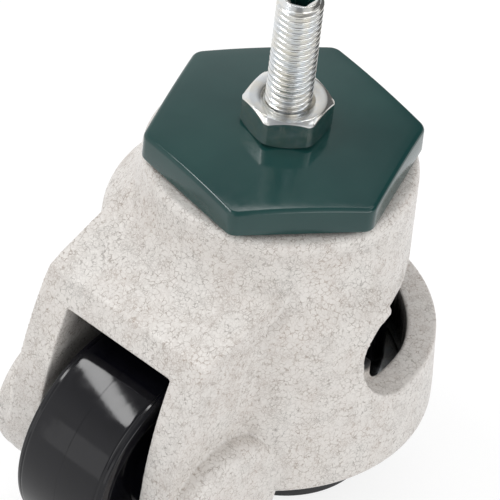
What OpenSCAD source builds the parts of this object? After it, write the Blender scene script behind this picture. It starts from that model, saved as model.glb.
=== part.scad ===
// Levelling caster: a swivel wheel and a screw-down rubber foot in one cast housing,
// hung from a threaded stem. Millimetres, +Z up along the stem, and the origin lies on
// the stem's axis at the upper face of the lock nut. The wheel is on the -X side and
// turns about Y. Heights inside the part are given as drops below the hex plate's top.

/* [Stem and lock nut] */
// Outside diameter of the stem's thread
stem_d = 9.85; // [8:0.05:12]
// Length of stem that stands free above the lock nut
stem_free = 29; // [20:0.5:60]
// Chamfer at the stem's tip
stem_chamfer = 1.2; // [0.6:0.1:1.6]
// Size across flats of the hex socket in the stem's tip
stem_socket_af = 5; // [4:0.5:6]
// Depth of that socket
stem_socket_depth = 6; // [3:0.5:10]
// Size across flats of the lock nut
nut_af = 17; // [15:0.5:19]
// Height of the lock nut
nut_h = 8; // [5:0.5:10]
// Angle of one corner of the lock nut
nut_turn = -44.4; // [-60:0.1:0]

/* [Hex plate] */
// Size across flats of the hex plate
plate_af = 52; // [50:0.5:60]
// Thickness of the hex plate
plate_t = 5.5; // [4:0.1:8]
// Radius of the plate's corners
plate_corner_r = 3.5; // [1:0.1:5]
// Angle of one corner of the plate
plate_turn = -37.4; // [-60:0.1:0]

/* [Swivel bearing] */
// Gap between the hex plate and the housing's rim
swivel_gap = 0.7; // [0.4:0.1:1.5]
// Diameter of the bearing balls
ball_d = 4.76; // [4:0.01:5]
// Number of bearing balls
ball_count = 16; // [12:1:18]
// Pitch radius of the ball track
track_r = 17.5; // [17:0.1:18]
// Radial width of each ball race
race_w = 8; // [7:0.1:8.4]
// Thickness of each ball race
race_t = 3.1; // [2.6:0.1:4]
// Gap between the two races
race_gap = 3.4; // [3:0.1:3.8]
// Thickness of the ball cage
cage_t = 1.2; // [0.8:0.1:1.6]
// Diameter of the kingpin below the plate
kingpin_d = 12; // [10:0.1:13]
// Diameter of the stem's collar under the plate
collar_d = 18; // [16:0.1:20]
// Thickness of that collar
collar_t = 2.5; // [2:0.1:3.5]
// Wall of the kingpin bush
bush_wall = 2; // [1.5:0.1:3]
// Size across flats of the kingpin nut
kingpin_nut_af = 18; // [17:0.5:19]
// Height of the kingpin nut
kingpin_nut_h = 6; // [4:0.5:7]
// Thickness of the kingpin washer
kingpin_washer_t = 1.6; // [1:0.1:2]

/* [Housing] */
// Radius of the round head under the hex plate
barrel_r = 28.8; // [28:0.1:30]
// Drop of the head's lower edge at the back
barrel_drop = 41.6; // [41:0.1:43]
// Rounding of the head's top rim
rim_round = 1.8; // [0.8:0.1:2.4]
// Drop at which the head starts to flare out
flare_drop = 12; // [10:0.5:14]
// Radius of the hollow flare
flare_r = 15; // [12:0.5:18]
// Radius of the bell at its shoulder
shoulder_r = 35.4; // [34:0.1:36]
// Rounding of that shoulder
shoulder_round = 3; // [1.5:0.1:5]
// Radius of the skirt at its foot
skirt_r = 36.8; // [36:0.1:38]
// Drop of the skirt's lower rim
skirt_drop = 67; // [66:0.1:70]
// Rounding of the skirt's lower rim
skirt_round = 1.5; // [0.5:0.1:2.5]
// Thickness of the skirt where it runs round the back as a ring
ring_wall = 5.8; // [5:0.1:6.5]
// Thickness of the web that holds the swivel bearing
web_t = 6; // [5:0.1:7]

/* [Wheel box] */
// Width of the wheel box
box_w = 44.8; // [42:0.1:48]
// Width of the window and of the wheel pocket
window_w = 29; // [27:0.1:30]
// Drop of the window's top edge
window_drop = 31.9; // [31:0.1:35]
// Distance of the box's front crease from the stem's axis
crease_x = 43.5; // [42:0.1:45]
// Drop of that crease
crease_drop = 25.85; // [25:0.05:27]
// Slope of the box's top face
top_slope = 21.3; // [18:0.1:24]
// Thickness of the box's top and front walls
box_wall = 4; // [3:0.1:4.4]
// Radius of the cheek and boss round the axle
boss_r = 15.45; // [14:0.05:17]
// Distance of the boss face from the centre plane
boss_y = 27.5; // [25:0.1:29]
// Rounding of the boss's edge
boss_round = 3; // [1:0.1:4]
// Radius of the fillet between the box and the bell
box_fillet = 5; // [3:0.5:6]

/* [Finger notch] */
// Radius of the notch's round end
notch_r = 12.8; // [12:0.1:13.2]
// Place of the notch's round end behind the stem's axis
notch_x = 4.8; // [4:0.1:6]
// Drop of the notch's centre
notch_drop = 36.2; // [35.6:0.1:36.6]
// Start of the notch above its round end
notch_start_x = -1.5; // [-3:0.1:0]
// Start of the slot that opens onto the dial
slot_start_x = 2; // [1:0.1:4]
// Rounding of that slot's upper corner
slot_round = 4; // [2:0.1:6]

/* [Wheel] */
// Height of the hex plate's top above the floor
ride_h = 89.7; // [89:0.1:92]
// Diameter of the wheel
wheel_d = 50; // [48:0.1:50.4]
// Width of the wheel
wheel_w = 22.4; // [20:0.1:23]
// Distance of the wheel's axle in front of the stem's axis
axle_x = 35.6; // [35.4:0.1:37]
// Diameter of the axle
axle_d = 8; // [6:0.1:9]
// Wall of the wheel's two bushes
wheel_bush_wall = 2.5; // [1.5:0.1:3]
// Depth of the dish in each side of the wheel
wheel_dish = 3; // [1:0.1:4]
// Diameter of the axle's head
axle_head_d = 13; // [12:0.1:14]
// Height of the axle's head
axle_head_h = 5; // [4:0.1:6]
// Size across flats of the nut that is cast into the near cheek for the axle
axle_nut_af = 13; // [12:0.5:14]
// Height of that nut
axle_nut_h = 5; // [4:0.1:6]
// Metal left over the axle's end in the near cheek
axle_cover = 3.5; // [2.5:0.1:4]

/* [Levelling foot] */
// Distance of the foot's axis behind the stem's axis
foot_x = 10; // [9.8:0.1:10.4]
// Outside diameter of the jacking screw
screw_d = 12; // [10:0.1:12.4]
// Size across the two flats of the jacking screw
screw_flats = 9.2; // [8:0.1:10]
// Drop of the screw's top end with the foot level with the wheel
screw_top_drop = 40; // [39.8:0.1:41]
// Travel of the foot above the floor
foot_up = 6; // [4:0.5:6]
// Diameter of the adjusting dial
dial_d = 40; // [36:0.1:40.4]
// Height of the adjusting dial
dial_h = 20; // [18:0.1:20.8]
// Number of finger scallops round the dial
dial_scallops = 10; // [6:1:14]
// Depth of each scallop
scallop_depth = 1.4; // [0.5:0.1:2]
// Outside diameter of the dial's threaded sleeve
sleeve_d = 17; // [15:0.1:20]
// Thickness of the thrust washer over the dial
thrust_t = 0.9; // [0.6:0.1:1.4]
// Thickness of the retainer plate under the dial
retainer_t = 2; // [1.5:0.1:2.4]
// Diameter of the rubber foot
foot_d = 39; // [34:0.5:44]
// Height of the rubber foot
foot_h = 12; // [10:0.5:13]
// Thickness of the steel disc in the foot
foot_disc_t = 3; // [2:0.1:4]

/* [Fits] */
// Running clearance round each pin and shaft
run_fit = 0.04; // [0.02:0.01:0.08]
// Running gap between faces that turn on each other
face_gap = 0.1; // [0.05:0.01:0.2]
// Clearance of a bearing ball in its track
ball_fit = 0.08; // [0.05:0.01:0.12]

/* [Hidden] */
$fn = 96;
eps = 0.01;
far = 120;

// Stem, nut and plate
stem_core_d = stem_d - 1.35;
nut_countersink = 1.45;
nut_face_share = 0.475;
plate_bore_d = kingpin_d;
kingpin_chamfer = 0.8;

// Swivel levels
rim_drop = plate_t + swivel_gap;
track_drop = plate_t + race_t + race_gap / 2;
lower_race_drop = plate_t + race_t + race_gap;
web_drop = lower_race_drop + race_t;
web_under = web_drop + web_t;
race_in = track_r - race_w / 2;
race_out = track_r + race_w / 2;
groove_r = ball_d / 2 + ball_fit;
bearing_seat_r = race_out + 0.05;
cage_w = ball_d * 1.24;
seal_w = 1.8;
seal_fit = 0.15;
seal_drop = plate_t + 3.9;
bush_flange_t = 1.6;
bush_flange_w = 2.5;
kingpin_washer_d = kingpin_nut_af + 2.4;
kingpin_washer_drop = web_under + face_gap;
kingpin_nut_drop = kingpin_washer_drop + kingpin_washer_t;
kingpin_end = kingpin_nut_drop + kingpin_nut_h + kingpin_chamfer;
chamber_drop = kingpin_end + 0.9;

// Housing outline
flare_turn = acos(1 - (shoulder_r - barrel_r) / (flare_r + shoulder_round));
axle_drop = ride_h - wheel_d / 2;
cheek_reach = axle_x + boss_r - crease_x;
cheek_rise = axle_drop - crease_drop;
cheek_arc_r = (pow(cheek_reach, 2) + pow(cheek_rise, 2)) / (2 * cheek_reach);
ring_drop = notch_drop + notch_r;
cavity_r = skirt_r - ring_wall;
chamber_back = kingpin_nut_af / 2 + 3;
bulkhead_front = -chamber_back;
boss_step = 0.2;
fillet_seat_r = shoulder_r - 0.3;
pocket_lip = 1.4;
core_set_in = 12;
core_notch_wall = 3.5;
head_pocket_d = axle_head_d + 1;
head_from = boss_y - axle_head_h - 0.5;
axle_end = boss_y - axle_cover;
axle_nut_from = axle_end - axle_nut_h - 0.5;
axle_socket_af = axle_d * 0.72;
axle_socket_depth = 3;
hub_face_w = 3.5;
tread_step = 0.45;
bush_flange_r = axle_d / 2 + wheel_bush_wall + 2.2;
bush_face_t = 1;
bush_start = 1.5;
side_washer_d = axle_d + 9;

// Levelling screw levels
screw_room = 0.6;
screw_bore_drop = screw_top_drop - foot_up - screw_room;
dial_drop = barrel_drop + thrust_t + face_gap;
retainer_drop = dial_drop + dial_h + face_gap;
retainer_front = -8.8;
retainer_play = 0.3;
retainer_tongue = 1.3;
tongue_w = 4;
retainer_screw_x = -3.5;
retainer_screw_in = 4.57;
retainer_screw_y = sqrt(pow(cavity_r - retainer_screw_in, 2) - pow(retainer_screw_x, 2));
retainer_screw_d = 4;
retainer_screw_len = 10;
retainer_head_h = 1.8;
drive_w = 0.8;
drive_len = 3.8;
drive_depth = 1;
dial_room_play = 1.3;
dial_round = 1.5;
dial_roof = 6;
dial_rim_wall = 3.5;
dial_hub_wall = 2.5;
scallop_r = 5;
thrust_w = 4;
foot_wall = 1.6;
foot_lip = 2;
sole_round = 0.8;
disc_drop = ride_h - foot_h + foot_lip;
disc_r = foot_d / 2 - foot_wall;
hub_rise = 2;
hub_wall = 4;
screw_collar_t = 2;
screw_collar_w = 2.5;
screw_point = 1;
screw_neck_d = screw_d * 0.72;
rivet_h = 1.4;
rivet_play = 0.3;

// Height of a point that lies the given drop below the hex plate's top
function level(drop) = -nut_h - drop;

// Points of an arc about a centre, from one angle to another
function arc(centre, r, from, to, steps = 12) =
    [for (i = [0:steps]) let (a = from + (to - from) * i / steps)
        [centre[0] + r * cos(a), centre[1] + r * sin(a)]];

// Stands a child's floor at a drop below the hex plate's top
module at_drop(drop) {
    translate([0, 0, level(drop)]) children();
}

// Ring from one drop to a lower one
module ring(r_in, r_out, top, bottom) {
    translate([0, 0, level(bottom)])
        difference() {
            cylinder(r = r_out, h = bottom - top);
            translate([0, 0, -eps]) cylinder(r = r_in, h = bottom - top + 2 * eps);
        }
}

// Upright cylinder from one drop to a lower one
module column(r, top, bottom) {
    translate([0, 0, level(bottom)]) cylinder(r = r, h = bottom - top);
}

// Extrudes a side outline, drawn as [x, z], across the part, centred on Y = 0
module across(width) {
    translate([0, width / 2, 0]) rotate([90, 0, 0]) linear_extrude(width) children();
}

// Moves to the wheel's axle, with +Z turned to run along Y
module on_axle(side = 1) {
    translate([-axle_x, 0, level(axle_drop)]) rotate([-90 * side, 0, 0]) children();
}

// Hex nut with chamfered corners, standing on Z = 0
module hex_nut(af, h, bore_d, countersink = 0) {
    corner = af / 2 / cos(30);
    face_r = af * nut_face_share;
    drop = (corner - face_r) * tan(30);
    difference() {
        intersection() {
            cylinder(r = corner, h = h, $fn = 6);
            rotate_extrude()
                polygon([[0, 0], [face_r, 0], [corner, drop], [corner, h - drop],
                         [face_r, h], [0, h]]);
        }
        translate([0, 0, -eps]) cylinder(d = bore_d, h = h + 2 * eps);
        if (countersink > 0)
            for (end = [0, 1])
                translate([0, 0, end * h]) mirror([0, 0, end])
                    translate([0, 0, -eps])
                        cylinder(d1 = bore_d + 2 * countersink, d2 = bore_d,
                                 h = countersink + eps);
    }
}

// Hexagon with round corners, drawn from its six sides and six corner circles
module round_hexagon(af, corner_r) {
    side = (af - 2 * corner_r) / 2 / cos(30);
    for (i = [0:5])
        rotate(60 * i + 30) {
            translate([0, -side / 2]) square([af / 2, side]);
            rotate(30) translate([side, 0]) circle(r = corner_r);
        }
}

// Threaded stud: free stem, its core in the nut, and a thick shank that is pressed into
// the plate, carries the collar and ends as the kingpin
module stem() {
    color("silver")
        difference() {
            union() {
                rotate_extrude()
                    polygon([[0, 0], [stem_d / 2, 0], [stem_d / 2, stem_free - stem_chamfer],
                             [stem_d / 2 - stem_chamfer, stem_free], [0, stem_free]]);
                column(stem_core_d / 2, -nut_h, 0);
                column(collar_d / 2, plate_t, plate_t + collar_t);
                column(kingpin_d / 2, 0, kingpin_end - kingpin_chamfer);
                at_drop(kingpin_end)
                    cylinder(d1 = kingpin_d - 2 * kingpin_chamfer, d2 = kingpin_d,
                             h = kingpin_chamfer);
            }
            translate([0, 0, stem_free - stem_socket_depth])
                cylinder(r = stem_socket_af / 2 / cos(30), h = stem_socket_depth + eps, $fn = 6);
        }
}

// Lock nut run down onto the hex plate
module lock_nut() {
    color("lightgray")
        at_drop(0) rotate(nut_turn) hex_nut(nut_af, nut_h, stem_core_d, nut_countersink);
}

// Painted hex plate that a spanner turns
module hex_plate() {
    color("darkslategray")
        at_drop(plate_t)
            difference() {
                rotate(plate_turn) linear_extrude(plate_t)
                    round_hexagon(plate_af, plate_corner_r);
                translate([0, 0, -eps]) cylinder(d = plate_bore_d, h = plate_t + 2 * eps);
            }
}

// Ball race with a round groove in one face
module ball_race(top, bottom) {
    difference() {
        ring(race_in, race_out, top, bottom);
        at_drop(track_drop)
            rotate_extrude() translate([track_r, 0]) circle(r = groove_r, $fn = 48);
    }
}

module upper_race() {
    color("gray") ball_race(plate_t, plate_t + race_t);
}

module lower_race() {
    color("gray") ball_race(lower_race_drop, web_drop);
}

// Places a child at each ball of the swivel bearing
module each_ball() {
    for (i = [0:ball_count - 1])
        rotate(360 / ball_count * i) translate([track_r, 0, level(track_drop)]) children();
}

module swivel_balls() {
    color("white") each_ball() sphere(d = ball_d);
}

// Pressed ring that keeps the balls apart
module ball_cage() {
    color("goldenrod")
        difference() {
            ring(track_r - cage_w / 2, track_r + cage_w / 2,
                 track_drop - cage_t / 2, track_drop + cage_t / 2);
            each_ball() cylinder(r = ball_d / 2 + ball_fit, h = cage_t * 2, center = true);
        }
}

// Soft ring that closes the gap between the head and the hex plate
module dust_seal() {
    color("black")
        ring(bearing_seat_r + seal_fit, bearing_seat_r + seal_fit + seal_w,
             plate_t + face_gap, seal_drop);
}

// Flanged bush in which the kingpin turns
module kingpin_bush() {
    color("peru")
        difference() {
            union() {
                column(kingpin_d / 2 + bush_wall, web_drop - bush_flange_t, web_under);
                column(kingpin_d / 2 + bush_wall + bush_flange_w,
                       web_drop - bush_flange_t, web_drop);
            }
            column(kingpin_d / 2 + run_fit, web_drop - bush_flange_t - 1, web_under + 1);
        }
}

module kingpin_washer() {
    color("silver")
        ring(kingpin_d / 2, kingpin_washer_d / 2, kingpin_washer_drop, kingpin_nut_drop);
}

module kingpin_nut() {
    color("silver")
        at_drop(kingpin_nut_drop + kingpin_nut_h)
            hex_nut(kingpin_nut_af, kingpin_nut_h, kingpin_d);
}

// Outer form of the head, flare, bell and skirt, as one turned profile
module bell() {
    flare_end = [barrel_r + flare_r * (1 - cos(flare_turn)),
                 level(flare_drop + flare_r * sin(flare_turn))];
    shoulder_centre = flare_end - shoulder_round * [cos(flare_turn), sin(flare_turn)];
    rotate_extrude()
        polygon(concat(
            [[0, level(skirt_drop)], [0, level(rim_drop)]],
            arc([barrel_r - rim_round, level(rim_drop + rim_round)], rim_round, 90, 0, 6),
            arc([barrel_r + flare_r, level(flare_drop)], flare_r, 180, 180 + flare_turn),
            arc(shoulder_centre, shoulder_round, flare_turn, 0, 6),
            [[skirt_r, level(skirt_drop - 3 * skirt_round)]],
            arc([skirt_r - skirt_round, level(skirt_drop - skirt_round)],
                skirt_round, 0, -90, 6)));
}

// Side outline of the wheel box and its round cheeks
module box_outline() {
    top_rise = crease_x * tan(top_slope);
    arc_centre = [-crease_x - cheek_reach + cheek_arc_r, level(axle_drop)];
    arc_end = atan2(cheek_rise, -crease_x - arc_centre[0]);
    polygon(concat(
        [[0, level(skirt_drop)], [0, level(crease_drop - top_rise)]],
        arc(arc_centre, cheek_arc_r, arc_end, 180),
        [[-axle_x, level(axle_drop)], [-axle_x, level(skirt_drop)]]));
    translate([-axle_x, level(axle_drop)]) circle(r = boss_r);
}

// Hollow upright fillets where the box's sides meet the bell
module box_fillets() {
    centre_y = box_w / 2 + box_fillet;
    centre_x = -sqrt(pow(fillet_seat_r + box_fillet, 2) - pow(centre_y, 2));
    reach = fillet_seat_r / (fillet_seat_r + box_fillet);
    intersection() {
        for (side = [-1, 1])
            at_drop(skirt_drop)
                linear_extrude(skirt_drop - crease_drop)
                    difference() {
                        polygon([[centre_x, side * (box_w / 2 - 1)],
                                 [centre_x, side * box_w / 2],
                                 reach * [centre_x, side * centre_y],
                                 reach * [centre_x, side * centre_y] + [2, -side],
                                 [centre_x + 4, side * (box_w / 2 - 1)]]);
                        translate([centre_x, side * centre_y]) circle(r = box_fillet);
                    }
        across(far) box_outline();
    }
}

// Space that a finger reaches through to turn the dial, outside the round head
module finger_notch() {
    difference() {
        across(far) {
            translate([notch_x, level(notch_drop)]) circle(r = notch_r);
            translate([notch_start_x, level(notch_drop)]) square([far, notch_drop]);
            translate([notch_x, level(ring_drop)]) square([far, ring_drop]);
        }
        column(barrel_r, 0, barrel_drop);
        intersection() {
            column(barrel_r, 0, skirt_drop);
            translate([slot_start_x - far, -far / 2, level(skirt_drop)])
                cube([far, far, skirt_drop]);
        }
    }
}

// Room for the dial: round the dial itself, and out to the ring behind the slot's start
module dial_room() {
    translate([foot_x, 0, 0])
        column(dial_d / 2 + dial_room_play, barrel_drop, skirt_drop + 1);
    intersection() {
        column(cavity_r, barrel_drop, skirt_drop + 1);
        across(far) {
            translate([slot_start_x + slot_round, level(skirt_drop + 1)])
                square([far, skirt_drop + 1 - barrel_drop]);
            translate([slot_start_x, level(skirt_drop + 1)])
                square([far, skirt_drop + 1 - barrel_drop - slot_round]);
            translate([slot_start_x + slot_round, level(barrel_drop + slot_round)])
                circle(r = slot_round);
        }
    }
}

// Side outline of the hollow for the wheel and, above and behind it, the kingpin nut
module pocket_outline() {
    ceiling = box_wall / cos(top_slope);
    top_at = function (x) crease_drop - (crease_x + x) * tan(top_slope) + ceiling;
    knee_x = -crease_x + (crease_drop + ceiling - web_under) / tan(top_slope);
    lip_x = -crease_x + box_wall * 0.6;
    polygon([[-far, level(window_drop)], [lip_x - pocket_lip, level(window_drop)],
             [lip_x, level(top_at(lip_x))], [knee_x, level(web_under)],
             [chamber_back, level(web_under)], [chamber_back, level(chamber_drop)],
             [bulkhead_front, level(chamber_drop)], [bulkhead_front, level(barrel_drop)],
             [slot_start_x, level(barrel_drop)], [slot_start_x, level(ride_h + 1)],
             [-far, level(ride_h + 1)]]);
}

// Hollows cored from below into the two sides of the bell
module side_cores() {
    core_y = window_w / 2 + box_wall;
    for (side = [-1, 1])
        intersection() {
            column(skirt_r - box_wall, notch_drop, skirt_drop + 1);
            translate([core_set_in - skirt_r, side > 0 ? core_y : -core_y - far,
                       level(skirt_drop + 1)])
                cube([skirt_r - core_set_in + notch_x - notch_r - core_notch_wall, far, far]);
        }
}

// Painted die-cast housing
module housing() {
    color("antiquewhite")
        difference() {
            union() {
                bell();
                across(box_w) box_outline();
                box_fillets();
                for (side = [-1, 1])
                    on_axle(side) {
                        rotate_extrude()
                            polygon(concat(
                                [[0, 0], [boss_r - boss_step, 0]],
                                arc([boss_r - boss_step - boss_round, boss_y - boss_round],
                                    boss_round, 0, 90, 8),
                                [[0, boss_y]]));
                    }
            }
            finger_notch();
            column(bearing_seat_r, 0, web_drop);
            column(bearing_seat_r + 2 * seal_fit + seal_w, 0, seal_drop);
            column(kingpin_d / 2 + bush_wall, 0, web_under + 1);
            across(window_w) pocket_outline();
            dial_room();
            side_cores();
            translate([foot_x, 0, 0])
                column(screw_d / 2 + screw_room, screw_bore_drop, skirt_drop);
            retainer_seat();
            retainer_screw_holes();
            on_axle() translate([0, 0, -axle_end]) cylinder(d = axle_d, h = far);
            on_axle() translate([0, 0, head_from]) cylinder(d = head_pocket_d, h = far);
            axle_nut_body();
        }
}

// Recess under the skirt that the retainer plate lies in, with its groove at the back
module retainer_seat() {
    intersection() {
        union() {
            column(cavity_r, retainer_drop, skirt_drop + 1);
            intersection() {
                column(cavity_r + retainer_tongue + retainer_play,
                       retainer_drop, retainer_drop + retainer_t + face_gap);
                translate([cavity_r - tongue_w - 2, -far / 2, -far]) cube(far);
            }
        }
        translate([retainer_front - retainer_play, -far / 2, -far]) cube(far);
    }
}

// Places a child on each screw of the retainer plate
module each_retainer_screw() {
    for (side = [-1, 1])
        translate([retainer_screw_x, side * retainer_screw_y, 0]) children();
}

module retainer_screw_holes() {
    each_retainer_screw()
        column(retainer_screw_d / 2, retainer_drop - retainer_screw_len - 0.5, skirt_drop);
}

// Moulded wheel with dished sides and a small step at each edge of the tread
module wheel() {
    r = wheel_d / 2;
    half = wheel_w / 2;
    hub_r = axle_d / 2 + wheel_bush_wall;
    face_r = hub_r + hub_face_w;
    half_outline = [[hub_r, half], [face_r, half], [face_r + 0.7, half - wheel_dish],
                    [r - 5, half - wheel_dish], [r - 4, half],
                    [r - tread_step - 0.3, half], [r - tread_step, half - 0.8],
                    [r, half - 1.6]];
    mirrored = [for (i = [len(half_outline) - 1:-1:0])
                    [half_outline[i][0], -half_outline[i][1]]];
    color("black") on_axle() rotate_extrude() polygon(concat(half_outline, mirrored));
}

// Flanged bushes pressed into the wheel's hub from both sides
module wheel_bushes() {
    color("ivory")
        for (side = [-1, 1])
            on_axle(side)
                rotate_extrude()
                    polygon([[axle_d / 2 + run_fit, bush_start],
                             [axle_d / 2 + wheel_bush_wall, bush_start],
                             [axle_d / 2 + wheel_bush_wall, wheel_w / 2],
                             [bush_flange_r, wheel_w / 2],
                             [bush_flange_r, wheel_w / 2 + bush_face_t],
                             [axle_d / 2 + run_fit, wheel_w / 2 + bush_face_t]]);
}

// Washers that centre the wheel between the cheeks
module side_washers() {
    from = wheel_w / 2 + bush_face_t + face_gap;
    color("silver")
        for (side = [-1, 1])
            on_axle(side) translate([0, 0, from])
                difference() {
                    cylinder(d = side_washer_d, h = window_w / 2 - from);
                    translate([0, 0, -eps]) cylinder(d = axle_d, h = window_w);
                }
}

// Axle bolt, put in from the far side with its socket head sunk in that boss
module axle_bolt() {
    color("silver")
        on_axle()
            difference() {
                union() {
                    translate([0, 0, head_from]) cylinder(d = axle_head_d, h = axle_head_h);
                    translate([0, 0, -axle_end]) cylinder(d = axle_d, h = head_from + axle_end);
                }
                translate([0, 0, head_from + axle_head_h - axle_socket_depth])
                    cylinder(r = axle_socket_af / 2 / cos(30), h = far, $fn = 6);
            }
}

// Hex form of the nut that the near cheek is cast round
module axle_nut_body() {
    on_axle(-1) translate([0, 0, axle_nut_from])
        cylinder(r = axle_nut_af / 2 / cos(30), h = axle_nut_h, $fn = 6);
}

module axle_nut() {
    color("silver")
        difference() {
            axle_nut_body();
            on_axle() translate([0, 0, -far / 2]) cylinder(d = axle_d, h = far);
        }
}

// Adjusting dial with soft finger scallops, hollow underneath
module dial() {
    r = dial_d / 2;
    top = level(dial_drop);
    roof = top - dial_roof;
    bottom = level(dial_drop + dial_h);
    hub_r = sleeve_d / 2 + dial_hub_wall;
    color("black")
        translate([foot_x, 0, 0])
            difference() {
                rotate_extrude()
                    polygon(concat(
                        [[sleeve_d / 2, bottom], [sleeve_d / 2, top]],
                        arc([r - dial_round, top - dial_round], dial_round, 90, 0, 5),
                        arc([r - dial_round, bottom + dial_round], dial_round, 0, -90, 5),
                        [[r - dial_rim_wall, bottom], [r - dial_rim_wall - 0.7, roof],
                         [hub_r, roof], [hub_r, bottom]]));
                for (i = [0:dial_scallops - 1])
                    rotate(360 / dial_scallops * (i + 0.5))
                        translate([r + scallop_r - scallop_depth, 0, bottom - 1])
                            cylinder(r = scallop_r, h = dial_h + 2);
            }
}

// Threaded steel sleeve moulded into the dial
module dial_sleeve() {
    color("silver")
        translate([foot_x, 0, 0])
            ring(screw_d / 2 + run_fit, sleeve_d / 2, dial_drop, dial_drop + dial_h);
}

// Thrust washer between the dial and the housing
module thrust_washer() {
    color("peru")
        translate([foot_x, 0, 0])
            ring(screw_d / 2 + screw_room, sleeve_d / 2 + thrust_w,
                 barrel_drop, barrel_drop + thrust_t);
}

// Retainer plate that carries the dial and keys the screw by its flats
module retainer_plate() {
    color("silver")
        at_drop(retainer_drop + retainer_t)
            difference() {
                linear_extrude(retainer_t)
                    difference() {
                        union() {
                            intersection() {
                                circle(r = cavity_r - retainer_play);
                                translate([retainer_front, -far / 2]) square(far);
                            }
                            intersection() {
                                circle(r = cavity_r + retainer_tongue);
                                translate([cavity_r - tongue_w, -far / 2]) square(far);
                            }
                        }
                        intersection() {
                            translate([foot_x, 0]) circle(d = screw_d + 2 * run_fit);
                            translate([0, -screw_flats / 2 - run_fit])
                                square([far, screw_flats + 2 * run_fit]);
                        }
                    }
                each_retainer_screw()
                    translate([0, 0, -eps])
                        cylinder(d = retainer_screw_d, h = retainer_t + 2 * eps);
            }
}

// Pan-head screws that hold the retainer plate
module retainer_screws() {
    head_drop = retainer_drop + retainer_t;
    head_end = head_drop + retainer_head_h;
    color("silver")
        each_retainer_screw()
            difference() {
                union() {
                    column(retainer_screw_d / 2, retainer_drop - retainer_screw_len, head_drop);
                    at_drop(head_end)
                        cylinder(d1 = retainer_screw_d * 1.5, d2 = retainer_screw_d * 1.9,
                                 h = retainer_head_h);
                }
                for (turn = [0, 90])
                    rotate(turn)
                        translate([-drive_len / 2, -drive_w / 2, level(head_end + drive_depth)])
                            cube([drive_len, drive_w, 2 * drive_depth]);
            }
}

// Jacking screw with two flats, a collar and a riveted end in the foot
module foot_screw() {
    collar_drop = disc_drop - hub_rise - screw_collar_t;
    color("silver")
        translate([foot_x, 0, 0]) {
            intersection() {
                rotate_extrude()
                    polygon([[0, level(collar_drop)], [screw_d / 2, level(collar_drop)],
                             [screw_d / 2, level(screw_top_drop + screw_point)],
                             [screw_d / 2 - screw_point, level(screw_top_drop)],
                             [0, level(screw_top_drop)]]);
                translate([-far / 2, -screw_flats / 2, -far]) cube([far, screw_flats, far]);
            }
            column(screw_d / 2 + screw_collar_w, collar_drop, collar_drop + screw_collar_t);
            column(screw_neck_d / 2, collar_drop + screw_collar_t, disc_drop + foot_disc_t);
            at_drop(disc_drop + foot_disc_t + rivet_h)
                cylinder(d1 = screw_neck_d + 2, d2 = screw_neck_d + 4, h = rivet_h);
        }
}

// Steel disc with a raised hub, riveted to the screw
module foot_disc() {
    color("dimgray")
        translate([foot_x, 0, 0])
            difference() {
                union() {
                    column(screw_d / 2 + hub_wall, disc_drop - hub_rise, disc_drop);
                    column(disc_r, disc_drop, disc_drop + foot_disc_t);
                }
                column(screw_neck_d / 2, disc_drop - hub_rise - 1, ride_h);
            }
}

// Rubber foot snapped over the disc, with one groove in its sole
module foot_pad() {
    r = foot_d / 2;
    top = level(ride_h - foot_h);
    sole = level(ride_h);
    disc_top = level(disc_drop);
    disc_under = level(disc_drop + foot_disc_t);
    rivet_r = screw_neck_d / 2 + 2 + rivet_play;
    rivet_under = disc_under - rivet_h - rivet_play;
    color("black")
        translate([foot_x, 0, 0])
            rotate_extrude()
                polygon([[disc_r - foot_lip, disc_top], [disc_r, disc_top],
                         [disc_r, disc_under], [rivet_r, disc_under],
                         [rivet_r, rivet_under], [0, rivet_under], [0, sole],
                         [r * 0.55, sole], [r * 0.55, sole + 1], [r * 0.7, sole + 1],
                         [r * 0.7, sole], [r - sole_round, sole], [r, sole + sole_round],
                         [r, top - foot_wall], [r - foot_wall, top],
                         [disc_r - foot_lip, top]]);
}

stem();
lock_nut();
hex_plate();
upper_race();
lower_race();
swivel_balls();
ball_cage();
dust_seal();
kingpin_bush();
kingpin_washer();
kingpin_nut();
housing();
wheel();
wheel_bushes();
side_washers();
axle_bolt();
axle_nut();
dial();
dial_sleeve();
thrust_washer();
retainer_plate();
retainer_screws();
foot_screw();
foot_disc();
foot_pad();
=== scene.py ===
from math import cos, pi, radians, sin, tan

import bmesh
import bpy
import numpy as np
from mathutils import Matrix, Vector


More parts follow.
